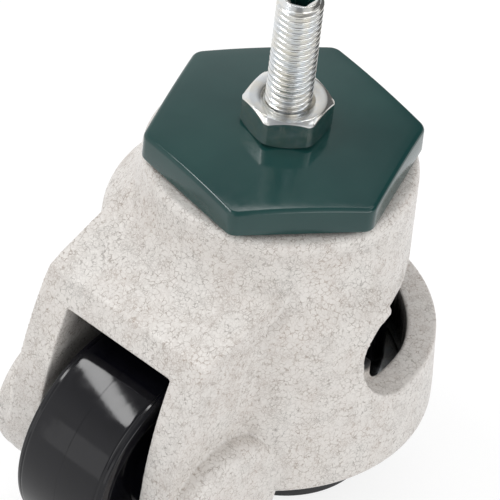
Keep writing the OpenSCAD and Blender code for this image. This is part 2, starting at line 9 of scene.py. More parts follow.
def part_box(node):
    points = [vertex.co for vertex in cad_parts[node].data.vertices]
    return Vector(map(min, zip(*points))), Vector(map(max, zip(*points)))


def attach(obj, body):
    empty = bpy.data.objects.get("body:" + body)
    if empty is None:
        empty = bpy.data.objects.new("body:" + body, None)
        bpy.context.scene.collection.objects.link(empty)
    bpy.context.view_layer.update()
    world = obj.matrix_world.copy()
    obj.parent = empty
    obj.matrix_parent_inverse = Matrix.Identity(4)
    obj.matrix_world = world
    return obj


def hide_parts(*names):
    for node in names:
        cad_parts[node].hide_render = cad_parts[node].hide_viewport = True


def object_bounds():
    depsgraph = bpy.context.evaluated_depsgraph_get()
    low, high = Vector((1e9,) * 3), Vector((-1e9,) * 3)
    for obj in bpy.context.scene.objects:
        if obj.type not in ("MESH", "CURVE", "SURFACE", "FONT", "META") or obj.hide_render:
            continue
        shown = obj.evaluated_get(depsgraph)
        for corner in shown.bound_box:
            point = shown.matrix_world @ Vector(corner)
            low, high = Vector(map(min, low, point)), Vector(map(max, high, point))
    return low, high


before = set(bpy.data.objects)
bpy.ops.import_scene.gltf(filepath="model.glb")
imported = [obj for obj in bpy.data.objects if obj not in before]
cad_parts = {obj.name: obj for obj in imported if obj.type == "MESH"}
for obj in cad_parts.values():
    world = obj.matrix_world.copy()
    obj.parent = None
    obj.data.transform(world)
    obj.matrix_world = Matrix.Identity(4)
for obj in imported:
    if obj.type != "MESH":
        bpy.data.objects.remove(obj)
cad_low, cad_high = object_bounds()
mm = 0.001


# The camera looks down on the caster from 41 degrees, rolled a little, through a very long
# lens. Its aim is measured from the middle of the hex plate's upper face.
plate_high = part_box("hex_plate")[1]
look_round, look_down, roll = radians(-51.5), radians(41.2), radians(7.1)
view_width, view_distance = 102.7 * mm, 4.5
aim_right, aim_down = -4.0 * mm, 24.9 * mm

across_view = Vector((cos(look_round), sin(look_round), 0))
ahead = Vector((-sin(look_round) * cos(look_down), cos(look_round) * cos(look_down),
                -sin(look_down)))
up_view = across_view.cross(ahead)
aim = Vector((0, 0, plate_high.z)) + aim_right * across_view - aim_down * up_view
camera_right = cos(roll) * across_view + sin(roll) * up_view
camera_up = cos(roll) * up_view - sin(roll) * across_view
camera_data = bpy.data.cameras.new("camera")
sensor_width = 36
camera_data.sensor_width = sensor_width
camera_data.lens = sensor_width * view_distance / view_width
camera_data.clip_start, camera_data.clip_end = 0.5, 60
camera = bpy.data.objects.new("camera", camera_data)
facing = Matrix((camera_right, camera_up, -ahead)).transposed()
camera.matrix_world = Matrix.Translation(aim - view_distance * ahead) @ facing.to_4x4()
bpy.context.collection.objects.link(camera)
bpy.context.scene.camera = camera
bpy.context.scene.view_settings.view_transform = "Standard"


# A white studio: a long softbox high behind the caster on its left, a weaker one high on its
# right, a strip overhead and two low fills. Its pale walls grow greyer overhead, behind the
# camera and on the far right, and its white floor keeps a faint shadow.
def softbox(name, direction, along, distance, length, width, watts):
    data = bpy.data.lights.new(name, "AREA")
    data.shape, data.size, data.size_y, data.energy = "RECTANGLE", length, width, watts
    lamp = bpy.data.objects.new(name, data)
    back = Vector(direction).normalized()
    across = back.cross(Vector(along)).normalized()
    turned_to = Matrix((across.cross(back), across, back)).transposed()
    lamp.matrix_world = Matrix.Translation(aim + distance * back) @ turned_to.to_4x4()
    lamp.visible_camera = False
    bpy.context.collection.objects.link(lamp)


softbox("left softbox", (-0.33, 0.47, 0.82), (-0.89, -0.45, -0.1),
        distance=0.8, length=0.48, width=0.12, watts=1.85)
softbox("right softbox", (0.50, -0.40, 0.77), (0.7, 0.7, 0),
        distance=0.8, length=0.40, width=0.22, watts=0.35)
softbox("overhead strip", (0.384, 0.207, 0.90), (0.62, -0.78, 0),
        distance=0.8, length=0.5, width=0.05, watts=0.4)
softbox("low fill", (-0.09, -0.99, 0.05), (1, -0.09, 0),
        distance=0.9, length=0.8, width=0.4, watts=2.4)
softbox("left fill", (-0.98, 0.15, 0.1), (0.15, 0.98, 0),
        distance=0.9, length=0.8, width=0.4, watts=0.6)


def node_tree(owner):
    owner.use_nodes = True
    owner.node_tree.nodes.clear()
    return owner.node_tree


def add(tree, kind, **settings):
    node = tree.nodes.new(kind)
    for key, value in settings.items():
        if key.startswith("in_"):
            node.inputs[key[3:].replace("_", " ")].default_value = value
        else:
            setattr(node, key, value)
    return node


def white_to_the_eye(tree, lit, shown, out):
    rays = add(tree, "ShaderNodeLightPath")
    seen = add(tree, "ShaderNodeMath", operation="ADD")
    either = add(tree, "ShaderNodeMath", operation="ADD", use_clamp=True)
    choose = add(tree, "ShaderNodeMixShader")
    tree.links.new(rays.outputs["Is Camera Ray"], seen.inputs[0])
    tree.links.new(rays.outputs["Is Glossy Ray"], seen.inputs[1])
    tree.links.new(seen.outputs[0], either.inputs[0])
    tree.links.new(rays.outputs["Is Transmission Ray"], either.inputs[1])
    tree.links.new(either.outputs[0], choose.inputs[0])
    tree.links.new(lit.outputs[0], choose.inputs[1])
    tree.links.new(shown.outputs[0], choose.inputs[2])
    tree.links.new(choose.outputs[0], out.inputs[0])


room_light = 0.71
wall_top, overhead_strength = 0.45, 0.3
front_narrows, front_full, front_strength = 2.4, 0.12, 0.4
right_from, right_full, right_strength = 0.45, 0.65, 0.12
world = bpy.data.worlds.new("studio")
bpy.context.scene.world = world
tree = node_tree(world)
walls = add(tree, "ShaderNodeBackground", in_Color=(1, 1, 1, 1))
sky_way = add(tree, "ShaderNodeTexCoord")
sky_parts = add(tree, "ShaderNodeSeparateXYZ")
sky_height = add(tree, "ShaderNodeMapRange", in_From_Min=wall_top, in_From_Max=1.0,
                 in_To_Min=1.0, in_To_Max=overhead_strength)
tree.links.new(sky_way.outputs["Generated"], sky_parts.inputs[0])
tree.links.new(sky_parts.outputs["Z"], sky_height.inputs["Value"])
toward = {}
for name, way in (("front", (-0.783, -0.622, 0)), ("side", (0.622, -0.783, 0)),
                  ("right", (0.94, -0.34, 0))):
    toward[name] = add(tree, "ShaderNodeVectorMath", operation="DOT_PRODUCT")
    toward[name].inputs[1].default_value = way
    tree.links.new(sky_way.outputs["Generated"], toward[name].inputs[0])
off_side = add(tree, "ShaderNodeMath", operation="ABSOLUTE")
behind_camera = add(tree, "ShaderNodeMath", operation="MULTIPLY_ADD")
behind_camera.inputs[1].default_value = -front_narrows
tree.links.new(toward["side"].outputs["Value"], off_side.inputs[0])
tree.links.new(off_side.outputs[0], behind_camera.inputs[0])
tree.links.new(toward["front"].outputs["Value"], behind_camera.inputs[2])
strength = sky_height.outputs["Result"]
for value, start, full, remaining in (
        (behind_camera.outputs[0], 0.0, front_full, front_strength),
        (toward["right"].outputs["Value"], right_from, right_full, right_strength)):
    flag = add(tree, "ShaderNodeMapRange", in_From_Min=start, in_From_Max=full,
               in_To_Min=1.0, in_To_Max=remaining)
    both = add(tree, "ShaderNodeMath", operation="MULTIPLY")
    tree.links.new(value, flag.inputs["Value"])
    tree.links.new(strength, both.inputs[0])
    tree.links.new(flag.outputs["Result"], both.inputs[1])
    strength = both.outputs[0]
tree.links.new(strength, walls.inputs["Strength"])
white_to_the_eye(tree, add(tree, "ShaderNodeBackground", in_Color=(1, 1, 1, 1),
                           in_Strength=room_light),
                 walls, add(tree, "ShaderNodeOutputWorld"))

floor_half, floor_glow, floor_white, floor_shadow = 6.0, 0.8, 0.8, 0.25
floor_mesh = bpy.data.meshes.new("floor")
floor_mesh.from_pydata([(x * floor_half, y * floor_half, cad_low.z)
                        for x, y in ((-1, -1), (1, -1), (1, 1), (-1, 1))], [], [(0, 1, 2, 3)])
floor = bpy.data.objects.new("floor", floor_mesh)
bpy.context.collection.objects.link(floor)
floor_card = bpy.data.materials.new("white card")
tree = node_tree(floor_card)
glow = add(tree, "ShaderNodeEmission", in_Color=(1, 1, 1, 1), in_Strength=floor_glow)
shadow_card = add(tree, "ShaderNodeBsdfDiffuse", in_Color=(floor_shadow,) * 3 + (1,))
shown = add(tree, "ShaderNodeAddShader")
tree.links.new(glow.outputs[0], shown.inputs[0])
tree.links.new(shadow_card.outputs[0], shown.inputs[1])
white_to_the_eye(tree, add(tree, "ShaderNodeBsdfDiffuse", in_Color=(floor_white,) * 3 + (1,)),
                 shown, add(tree, "ShaderNodeOutputMaterial"))
floor_mesh.materials.append(floor_card)


# Housing: one aluminium die-casting that carries everything else, with soft cast edges and
# a finger cut over its ring. It is sprayed in ivory crackle paint, which stops a little way
# inside its openings; there it is painted near-black, for the bare casting and painted shade.
def surface(name, **settings):
    material = bpy.data.materials.new(name)
    tree = node_tree(material)
    shader = add(tree, "ShaderNodeBsdfPrincipled", **settings)
    out = add(tree, "ShaderNodeOutputMaterial")
    tree.links.new(shader.outputs[0], out.inputs[0])
    return material, tree, shader


def millimetres(tree):
    place = add(tree, "ShaderNodeTexCoord")
    scaled = add(tree, "ShaderNodeVectorMath", operation="SCALE")
    scaled.inputs["Scale"].default_value = 1 / mm
    tree.links.new(place.outputs["Object"], scaled.inputs[0])
    return scaled.outputs[0]


def noise(tree, where, scale, detail=2.0, output="Fac"):
    made = add(tree, "ShaderNodeTexNoise", in_Scale=scale, in_Detail=detail)
    tree.links.new(where, made.inputs["Vector"])
    return made.outputs[output]


def spread(tree, value, low, high, to_low=0.0, to_high=1.0):
    made = add(tree, "ShaderNodeMapRange", in_From_Min=low, in_From_Max=high,
               in_To_Min=to_low, in_To_Max=to_high)
    tree.links.new(value, made.inputs["Value"])
    return made.outputs["Result"]


def reckon(tree, operation, a, b):
    made = add(tree, "ShaderNodeMath", operation=operation)
    for socket, value in zip(made.inputs, (a, b)):
        if isinstance(value, float):
            socket.default_value = value
        else:
            tree.links.new(value, socket)
    return made.outputs[0]


def blend_colours(tree, share, a, b):
    made = add(tree, "ShaderNodeMix", data_type="RGBA")
    for socket, value in ((0, share), (6, a), (7, b)):
        if isinstance(value, tuple):
            made.inputs[socket].default_value = value
        else:
            tree.links.new(value, made.inputs[socket])
    return made.outputs[2]


def relief(tree, shader, height, strength, depth):
    bump = add(tree, "ShaderNodeBump", in_Strength=strength, in_Distance=depth * mm)
    tree.links.new(height, bump.inputs["Height"])
    tree.links.new(bump.outputs[0], shader.inputs["Normal"])


def crack_lines(tree, where, cells, width):
    made = add(tree, "ShaderNodeTexVoronoi", feature="DISTANCE_TO_EDGE", in_Scale=cells)
    tree.links.new(where, made.inputs["Vector"])
    return spread(tree, made.outputs["Distance"], width * 0.3, width, 1.0, 0.0)


warm_ivory, pale_ivory = (0.735, 0.70, 0.665, 1), (0.76, 0.73, 0.695, 1)
brown_crack, grey_crack = (0.43, 0.36, 0.31, 1), (0.40, 0.375, 0.35, 1)
# Near-black for the housing's recesses: unpainted casting and painted shade together.
unpainted_and_shade_dark = (0.010, 0.010, 0.011, 1)
crack_wander, crack_sunk = 1.3, 0.2
wide_cracks, wide_crack_line = 0.95, 0.075
fine_cracks, fine_crack_line = 1.9, 0.11


def crackle_paint():
    material, tree, shader = surface("ivory crackle paint", in_IOR=1.5)
    where = millimetres(tree)
    wander = add(tree, "ShaderNodeVectorMath", operation="MULTIPLY_ADD")
    wander.inputs[1].default_value = (crack_wander,) * 3
    tree.links.new(noise(tree, where, 1.0, 3.0, "Color"), wander.inputs[0])
    tree.links.new(where, wander.inputs[2])
    wide = crack_lines(tree, wander.outputs[0], wide_cracks, wide_crack_line)
    fine = crack_lines(tree, wander.outputs[0], fine_cracks, fine_crack_line)
    broken = spread(tree, noise(tree, where, 0.8, 3.0), 0.40, 0.60, 0.2, 1.0)
    fine_here = spread(tree, noise(tree, where, 0.3, 2.0), 0.46, 0.62, 0.05, 0.6)
    cracks = reckon(tree, "MAXIMUM", reckon(tree, "MULTIPLY", wide, broken),
                    reckon(tree, "MULTIPLY", fine, fine_here))
    cloud = spread(tree, noise(tree, where, 0.11, 3.0), 0.35, 0.65)
    ivory = blend_colours(tree, cloud, warm_ivory, pale_ivory)
    crack = blend_colours(tree, cloud, brown_crack, grey_crack)
    paint = blend_colours(tree, cracks, ivory, crack)
    # Recesses blend to near-black: the unpainted casting and painted shade together.
    inside = add(tree, "ShaderNodeAttribute", attribute_name="inside")
    colour = blend_colours(tree, inside.outputs["Fac"], paint, unpainted_and_shade_dark)
    tree.links.new(colour, shader.inputs["Base Color"])
    hammered = noise(tree, where, 0.9, 3.0)
    height = reckon(tree, "SUBTRACT", hammered, reckon(tree, "MULTIPLY", cracks, crack_sunk))
    relief(tree, shader, height, strength=0.8, depth=0.22)
    tree.links.new(spread(tree, noise(tree, where, 1.5), 0.3, 0.7, 0.24, 0.40),
                   shader.inputs["Roughness"])
    return material


def welded_copy(node_name, name):
    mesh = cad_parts[node_name].data.copy()
    mesh.materials.clear()
    shape = bmesh.new()
    shape.from_mesh(mesh)
    bmesh.ops.remove_doubles(shape, verts=shape.verts, dist=0.002 * mm)
    shape.to_mesh(mesh)
    shape.free()
    made = bpy.data.objects.new(name, mesh)
    bpy.context.collection.objects.link(made)
    return made


def apply_modifiers(made):
    graph = bpy.context.evaluated_depsgraph_get()
    mesh = bpy.data.meshes.new_from_object(made.evaluated_get(graph))
    made.modifiers.clear()
    made.data = mesh


def seat(made, body, slot, material, *nodes, crease=35):
    made.data.materials.clear()
    made.data.materials.append(material)
    made.data.shade_smooth()
    if crease:
        made.data.set_sharp_from_angle(angle=radians(crease))
    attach(made, body)
    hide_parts(*nodes)


def finger_cut():
    inner_r, outer_r, foot_z = 20.8, 30.95, top_z - 44.8
    half_turn, steps = radians(91.2), 120
    shape = bmesh.new()
    rows = []
    for way in np.linspace(-half_turn, half_turn, steps + 1):
        under = top_z - cut_drop(head_r * cos(way))
        rows.append([shape.verts.new(Vector((r * cos(way), r * sin(way), pz)) * mm)
                     for r, pz in ((inner_r, foot_z), (outer_r, foot_z),
                                   (outer_r, under), (inner_r, under))])
    shape.faces.new(rows[0])
    shape.faces.new(rows[-1][::-1])
    for row, after in zip(rows, rows[1:]):
        for corner in range(4):
            shape.faces.new((row[corner], row[corner - 1], after[corner - 1], after[corner]))
    bmesh.ops.recalc_face_normals(shape, faces=shape.faces)
    mesh = bpy.data.meshes.new("finger cut")
    shape.to_mesh(mesh)
    shape.free()
    made = bpy.data.objects.new("finger cut", mesh)
    bpy.context.collection.objects.link(made)
    return made


def cut_drop(x):
    return np.interp(x, (-0.6, -0.2, 0.5, 3.4, 6.5, 10.0),
                     (43.8, 43.0, 39.7, 36.9, 34.4, 33.4))


top_z, head_r = plate_high.z / mm, 28.8
crease_x, crease_z, crease_reach = -43.5, top_z - 25.85, 3.5
skin_step, faces_kept = 0.32, 0.24
edge_rounds, crease_rounds = 3, 25
casting = welded_copy("housing", "cast_housing")
cut = casting.modifiers.new("finger cut", "BOOLEAN")
cut.operation, cut.solver, cut.object = "DIFFERENCE", "EXACT", finger_cut()
skin_grid = casting.modifiers.new("cast skin", "REMESH")
skin_grid.mode, skin_grid.voxel_size = "VOXEL", skin_step * mm
cutter = cut.object
apply_modifiers(casting)
bpy.data.objects.remove(cutter)
x, y, z = np.array([v.co for v in casting.data.vertices]).T / mm
near_crease = np.clip(1 - np.hypot(x - crease_x, z - crease_z) / crease_reach, 0, 1)
crease_share = casting.vertex_groups.new(name="crease")
for number in np.nonzero(near_crease)[0]:
    crease_share.add([int(number)], float(near_crease[number]), "REPLACE")
soft_edges = casting.modifiers.new("soft edges", "SMOOTH")
soft_edges.factor, soft_edges.iterations = 0.5, edge_rounds
soft_crease = casting.modifiers.new("soft crease", "SMOOTH")
soft_crease.factor, soft_crease.iterations = 0.5, crease_rounds
soft_crease.vertex_group = "crease"
fewer_faces = casting.modifiers.new("fewer faces", "DECIMATE")
fewer_faces.ratio = faces_kept
apply_modifiers(casting)


# The housing's bare places, where the spray doesn't reach, painted near-black as bare casting
# and as painted shade in these recesses: the wheel pocket behind its window, the underside of
# the head and the finger cut above the dial, and the ring's inner wall below its top edge. The
# head's lower back edge is rounded, and the ring is thick.
def ease(value, start, length):
    return np.clip((value - start) / length, 0, 1)


window_half, axle_x, axle_z = 14.5, -35.6, -72.7
top_slope = radians(21.3)
ceiling_t, pocket_top = 4.0 / cos(top_slope), top_z - 21.1
front_r, cheek_front = 103.7, -51.05
cavity_r, head_wall_r, head_drop, ring_drop = 31.0, 28.2, 41.6, 49.0
head_under, ring_top = top_z - head_drop, top_z - ring_drop
pocket_reach, head_reach, cavity_reach = 0.4, 0.9, 0.5
spray_and_shade_in, spray_and_shade_fade = 3.0, 3.5
x, y, z = np.array([v.co for v in casting.data.vertices]).T / mm
from_stem = np.hypot(x, y)
ceiling = np.minimum(crease_z + (x - crease_x) * tan(top_slope) - ceiling_t, pocket_top)
front_x = cheek_front + front_r - np.sqrt(front_r ** 2 - np.clip(z - axle_z, 0, 60) ** 2)
pocket = (np.abs(y) < window_half + pocket_reach) & (z < ceiling + pocket_reach) & (x < 2.0)
pocket_dark = pocket * ease(x - front_x, spray_and_shade_in, spray_and_shade_fade)
under_head = (from_stem < head_wall_r) & (z < head_under + head_reach) & (x > 1.0)
ring_dark = ((from_stem < cavity_r + cavity_reach) & (x > 1.0) & (z < ring_top)) \
    * ease(ring_top - z, 0.8, 2.5)
drop = top_z - z
in_cut = (drop > cut_drop(x) - 0.5) & (drop < 46.0) & (x > -1.0) \
    & (from_stem < np.where(drop > cut_drop(x) + 0.8, 31.2, head_wall_r))
# Near-black share: the unpainted casting and painted shade in the recesses together.
bare_with_shade = np.maximum(np.maximum(pocket_dark, (under_head | in_cut) * 1.0), ring_dark)
inside = casting.data.attributes.new("inside", "FLOAT", "POINT")
inside.data.foreach_set("value", bare_with_shade.astype(np.float32))

head_round, ring_thicker, side_thicker = 12.0, 0.9, 0.8
round_from = head_drop - head_round
drawn_in = head_round * (1 - np.sqrt(1 - ease(drop, round_from, head_round) ** 2))
drawn_in *= ease(x, 3.5, 7.0) * (from_stem < 29.4) * (drop < 42.5) * ease(from_stem, 16.0, 12.8)
low_side = ease(-np.cos(np.arctan2(np.abs(y), x) * 2), 0.6, 0.4)
drawn_in += (ring_thicker + side_thicker * low_side) * (x > 1.0) * (drop > 43.5) \
    * (from_stem > 30.4) * ease(-from_stem, -33.0, 2.0)
slimmer = 1 - drawn_in / np.maximum(from_stem, 1)
casting.data.vertices.foreach_set(
    "co", (np.stack([x * slimmer, y * slimmer, z], axis=-1) * mm).astype(np.float32).ravel())
casting.data.update()
seat(casting, "housing", "ivory_casting", crackle_paint(), "housing", crease=0)


# Swivel bearing: two ground races with balls in a brass cage, closed by a rubber ring, on a
# bronze-bushed kingpin with its washer and nut. All of it is shut in the housing's head.
def finish_nodes(material, *names):
    for name in names:
        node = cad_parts[name]
        if not node.material_slots:
            node.data.materials.append(material)
        for slot in node.material_slots:
            slot.material = material


def metal(name, colour, tinge, smoothest, roughest, grain, depth):
    material, tree, shader = surface(name, in_Metallic=1.0)
    where = millimetres(tree)
    patches = spread(tree, noise(tree, where, 0.35, 3.0), 0.38, 0.62)
    tree.links.new(blend_colours(tree, patches, colour + (1,), tinge + (1,)),
                   shader.inputs["Base Color"])
    fine = noise(tree, where, grain, 3.0)
    tree.links.new(spread(tree, fine, 0.3, 0.7, smoothest, roughest),
                   shader.inputs["Roughness"])
    relief(tree, shader, fine, 0.4, depth)
    return material


def moulding(name, colour, smoothest, roughest, grain, depth, ior):
    material, tree, shader = surface(name, in_IOR=ior)
    where = millimetres(tree)
    patches = noise(tree, where, 0.2, 2.0)
    paler = tuple(1.25 * part for part in colour) + (1,)
    tree.links.new(blend_colours(tree, spread(tree, patches, 0.35, 0.65), colour + (1,), paler),
                   shader.inputs["Base Color"])
    fine = noise(tree, where, grain, 2.0)
    tree.links.new(spread(tree, fine, 0.3, 0.7, smoothest, roughest),
                   shader.inputs["Roughness"])
    relief(tree, shader, fine, 0.5, depth)
    return material


ground_steel = metal("ground bearing steel", (0.56, 0.57, 0.58), (0.50, 0.50, 0.50),
                     smoothest=0.15, roughest=0.25, grain=8.0, depth=0.004)
brass = metal("cage brass", (0.72, 0.52, 0.26), (0.62, 0.44, 0.22),
              smoothest=0.28, roughest=0.4, grain=5.0, depth=0.01)
zinc = metal("bright zinc plate", (0.74, 0.765, 0.785), (0.77, 0.755, 0.71),
             smoothest=0.16, roughest=0.27, grain=0.6, depth=0.008)
rubber = moulding("moulded rubber", (0.020, 0.020, 0.021),
                  smoothest=0.55, roughest=0.75, grain=6.0, depth=0.02, ior=1.5)
natural_nylon = moulding("natural nylon", (0.66, 0.63, 0.54),
                         smoothest=0.35, roughest=0.5, grain=3.0, depth=0.01, ior=1.53)
finish_nodes(ground_steel, "upper_race", "lower_race", "swivel_balls")
finish_nodes(brass, "ball_cage", "kingpin_bush")
finish_nodes(rubber, "dust_seal")
finish_nodes(zinc, "kingpin_washer", "kingpin_nut")


# Hex plate: 5.5 mm steel, crowned towards its middle and pressed onto the stem's shank. It
# is dipped in dark green enamel, which rounds its edges.
def skin(name, rings, close_start=False, close_end=False):
    rings = np.asarray(rings, float) * mm
    count, around = rings.shape[:2]
    here = np.arange(count * around).reshape(count, around)
    ahead_of = np.roll(here, -1, axis=1)
    faces = np.stack([here[:-1], ahead_of[:-1], ahead_of[1:], here[1:]], axis=-1)
    faces = faces.reshape(-1, 4).tolist()
    if close_start:
        faces.append(here[0, ::-1].tolist())
    if close_end:
        faces.append(here[-1].tolist())
    mesh = bpy.data.meshes.new(name)
    mesh.from_pydata(rings.reshape(-1, 3).tolist(), [], faces)
    shape = bmesh.new()
    shape.from_mesh(mesh)
    bmesh.ops.remove_doubles(shape, verts=shape.verts, dist=0.0005 * mm)
    bmesh.ops.recalc_face_normals(shape, faces=shape.faces)
    shape.to_mesh(mesh)
    shape.free()
    made = bpy.data.objects.new(name, mesh)
    bpy.context.collection.objects.link(made)
    return made


def hexagon_ring(flats, corner_r, turn, inset, height, side_steps=12, corner_steps=8):
    corner_r = max(corner_r - inset, 0.05)
    flats = flats - 2 * inset
    reach = (flats - 2 * corner_r) / 2 / cos(radians(30))
    points = []
    for corner in range(6):
        middle = turn + radians(60 * corner)
        centre = np.array([cos(middle), sin(middle)]) * reach
        for step in range(corner_steps + 1):
            way = middle + radians(-30 + 60 * step / corner_steps)
            points.append(centre + corner_r * np.array([cos(way), sin(way)]))
        after = middle + radians(60)
        start = points[-1]
        end = np.array([cos(after), sin(after)]) * reach \
            + corner_r * np.array([cos(after - radians(30)), sin(after - radians(30))])
        points += [start + (end - start) * step / side_steps for step in range(1, side_steps)]
    return [(px, py, height) for px, py in points]


plate_flats, plate_corner_r, plate_turn = 51.4, 2.8, radians(-38.2)
top_round, under_round, plate_t = 0.9, 0.6, 5.5
plate_bore_r, crown_r, crown_rise = 6.0, 178.0, 3.0
under_steps, top_steps, inward_steps, rim_crowding = 6, 8, 12, 1.4
bottom_z = top_z - plate_t


def crowned(ring, drop=0.0):
    return [(px, py, top_z + crown_rise - (px * px + py * py) / 2 / crown_r - drop)
            for px, py, height in ring]


bore_ring = [(plate_bore_r * cos(way), plate_bore_r * sin(way), bottom_z)
             for way in plate_turn + np.linspace(-radians(30), radians(330), 120, False)]
outline_rings = []
for step in range(under_steps + 1):
    way = radians(90 * step / under_steps)
    outline_rings.append(hexagon_ring(plate_flats, plate_corner_r, plate_turn,
                                      under_round * (1 - sin(way)),
                                      bottom_z + under_round * (1 - cos(way))))
for step in range(top_steps + 1):
    way = radians(90 * step / top_steps)
    outline_rings.append(crowned(hexagon_ring(plate_flats, plate_corner_r, plate_turn,
                                              top_round * (1 - cos(way)), 0),
                                 top_round * (1 - sin(way))))
rim_ring = np.array(outline_rings[-1])
for step in range(1, inward_steps + 1):
    inward = 1 - (1 - step / inward_steps) ** rim_crowding
    outline_rings.append(crowned(rim_ring + (np.array(bore_ring) - rim_ring) * inward))
plate = skin("enamelled_hex_plate", [crowned(bore_ring), bore_ring] + outline_rings)


deep_green, bright_green = (0.007, 0.044, 0.042, 1), (0.011, 0.054, 0.050, 1)


def green_enamel():
    material, tree, shader = surface("dark green enamel", in_IOR=1.48)
    where = millimetres(tree)
    cloud = spread(tree, noise(tree, where, 0.06, 2.0), 0.35, 0.65)
    tree.links.new(blend_colours(tree, cloud, deep_green, bright_green),
                   shader.inputs["Base Color"])
    tree.links.new(spread(tree, noise(tree, where, 0.5), 0.3, 0.7, 0.10, 0.18),
                   shader.inputs["Roughness"])
    relief(tree, shader, noise(tree, where, 0.22, 2.0), strength=0.25, depth=0.12)
    return material


enamel = green_enamel()
seat(plate, "mount", "green_paint", enamel, "hex_plate", crease=40)


# Stem: a turned and rolled M10 stud, zinc plated, with a hex socket in its tip that the
# enamel has run into. Its thick shank is pressed into the plate and is also the kingpin.
turns_of = np.linspace(0, 2 * pi, 96, False)
stem_r, stem_core_r, stem_pitch, stem_tip = 4.925, 4.1, 1.5, cad_high.z / mm
tip_chamfer, socket_flats, socket_depth, socket_edge = 1.2, 5.0, 6.0, 0.35
shank_r, collar_r, collar_t = 6.0, 9.0, 2.5
kingpin_end, kingpin_chamfer = top_z - 29.6, 0.8


def circle(radius, height):
    radius = np.broadcast_to(radius, turns_of.shape)
    return np.stack([radius * np.cos(turns_of), radius * np.sin(turns_of),
                     np.full(turns_of.shape, float(height))], axis=-1)


def rolled_thread(height, pitch, core_r, crest_r):
    place = (height / pitch - turns_of / (2 * pi)) % 1.0
    ridge = np.clip((1 - np.abs(2 * place - 1) - 0.16) / 0.68, 0, 1)
    return core_r + (crest_r - core_r) * ridge * ridge * (3 - 2 * ridge)


def hex_outline(flats, turn=0.0):
    return flats / 2 / np.cos((turns_of - turn) % radians(60) - radians(30))


collar_under = bottom_z - collar_t
rings = [circle(shank_r - kingpin_chamfer, kingpin_end),
         circle(shank_r, kingpin_end + kingpin_chamfer), circle(shank_r, collar_under),
         circle(collar_r, collar_under), circle(collar_r, bottom_z),
         circle(shank_r, bottom_z), circle(shank_r, top_z)]
thread_steps = 16
heights = np.arange(top_z, stem_tip - 0.001, stem_pitch / thread_steps)
for height in heights:
    radius = rolled_thread(height, stem_pitch, stem_core_r, stem_r)
    rings.append(circle(np.minimum(radius, stem_r - tip_chamfer + stem_tip - height), height))
socket_r = hex_outline(socket_flats)
rings += [circle(stem_r - tip_chamfer, stem_tip),
          circle(socket_r.max() + socket_edge, stem_tip),
          circle(socket_r, stem_tip - socket_edge), circle(socket_r, stem_tip - socket_depth),
          circle(0.2, stem_tip - socket_depth - 1.2)]
stud = skin("threaded_stem", rings, close_start=True, close_end=True)
seat(stud, "mount", "zinc_steel", zinc, "stem", crease=50)
stud.data.materials.append(enamel)
for face in stud.data.polygons:
    middle = face.center / mm
    if middle.z > stem_tip - socket_depth - 1.5 and middle.xy.length < socket_r.min() + 0.3:
        face.material_index = 1


# Lock nut: 17 mm across its flats, with both faces chamfered and the bore countersunk,
# zinc plated and run down tight onto the crown of the plate.
nut_flats, nut_turn, nut_h = 17.0, radians(-46.3), 7.0
nut_seat = top_z + crown_rise - 0.2
nut_face_r, corner_wear, face_ease = 0.475 * nut_flats, 0.32, 0.15
nut_bore_r, countersink_r, countersink_t = 4.25, 5.7, 1.1
turns_of = nut_turn + np.linspace(0, 2 * pi, 192, False)
flank = np.minimum(hex_outline(nut_flats, nut_turn),
                   nut_flats / 2 / cos(radians(30)) - corner_wear)
chamfer_fall = (flank - nut_face_r) * tan(radians(30))


def nut_ring(radius, heights):
    return np.stack([radius * np.cos(turns_of), radius * np.sin(turns_of), heights], axis=-1)


upper = nut_seat + nut_h
rings = [circle(nut_bore_r, upper - countersink_t), circle(nut_bore_r, nut_seat + countersink_t),
         circle(countersink_r, nut_seat), circle(nut_face_r, nut_seat),
         nut_ring(flank, nut_seat + chamfer_fall),
         nut_ring(flank, upper - chamfer_fall - face_ease),
         nut_ring(flank - face_ease, upper - chamfer_fall + face_ease * tan(radians(30))),
         circle(nut_face_r + face_ease, upper - face_ease * 0.6),
         circle(nut_face_r - face_ease, upper), circle(countersink_r + face_ease, upper),
         circle(countersink_r - face_ease, upper - face_ease),
         circle(nut_bore_r, upper - countersink_t)]
nut = skin("chamfered_lock_nut", rings)
seat(nut, "mount", "zinc_steel", zinc, "lock_nut", crease=28)


# Wheel: one moulding in glossy black nylon with dished sides, a fine step at each edge of
# its tread and a faint mould line round the middle. Its hub takes two flanged bushes.
wheel_r, wheel_half, hub_r, hub_face_r, dish, tread_crown = 25.0, 11.2, 6.5, 10.0, 3.0, 150.0
hub_edge, hub_draft, rim_wall, lip_in, lip_edge = 0.4, 0.7, 5.0, 3.7, 0.5
shoulder_in, shoulder_edge, tread_half, tread_edge = 1.2, 0.45, 9.3, 0.5
step_in, step_t, mould_line = 0.68, 0.8, 0.04
turns_of = np.linspace(0, 2 * pi, 180, False)


def turned(name, outline):
    return skin(name, [circle(radius, height) for radius, height in outline])


def rounded(centre, radius, start, end, steps=5):
    ways = np.radians(np.linspace(start, end, steps + 1))
    return [(centre[0] + radius * cos(way), centre[1] + radius * sin(way)) for way in ways]


def tread(height):
    return wheel_r - height * height / 2 / tread_crown


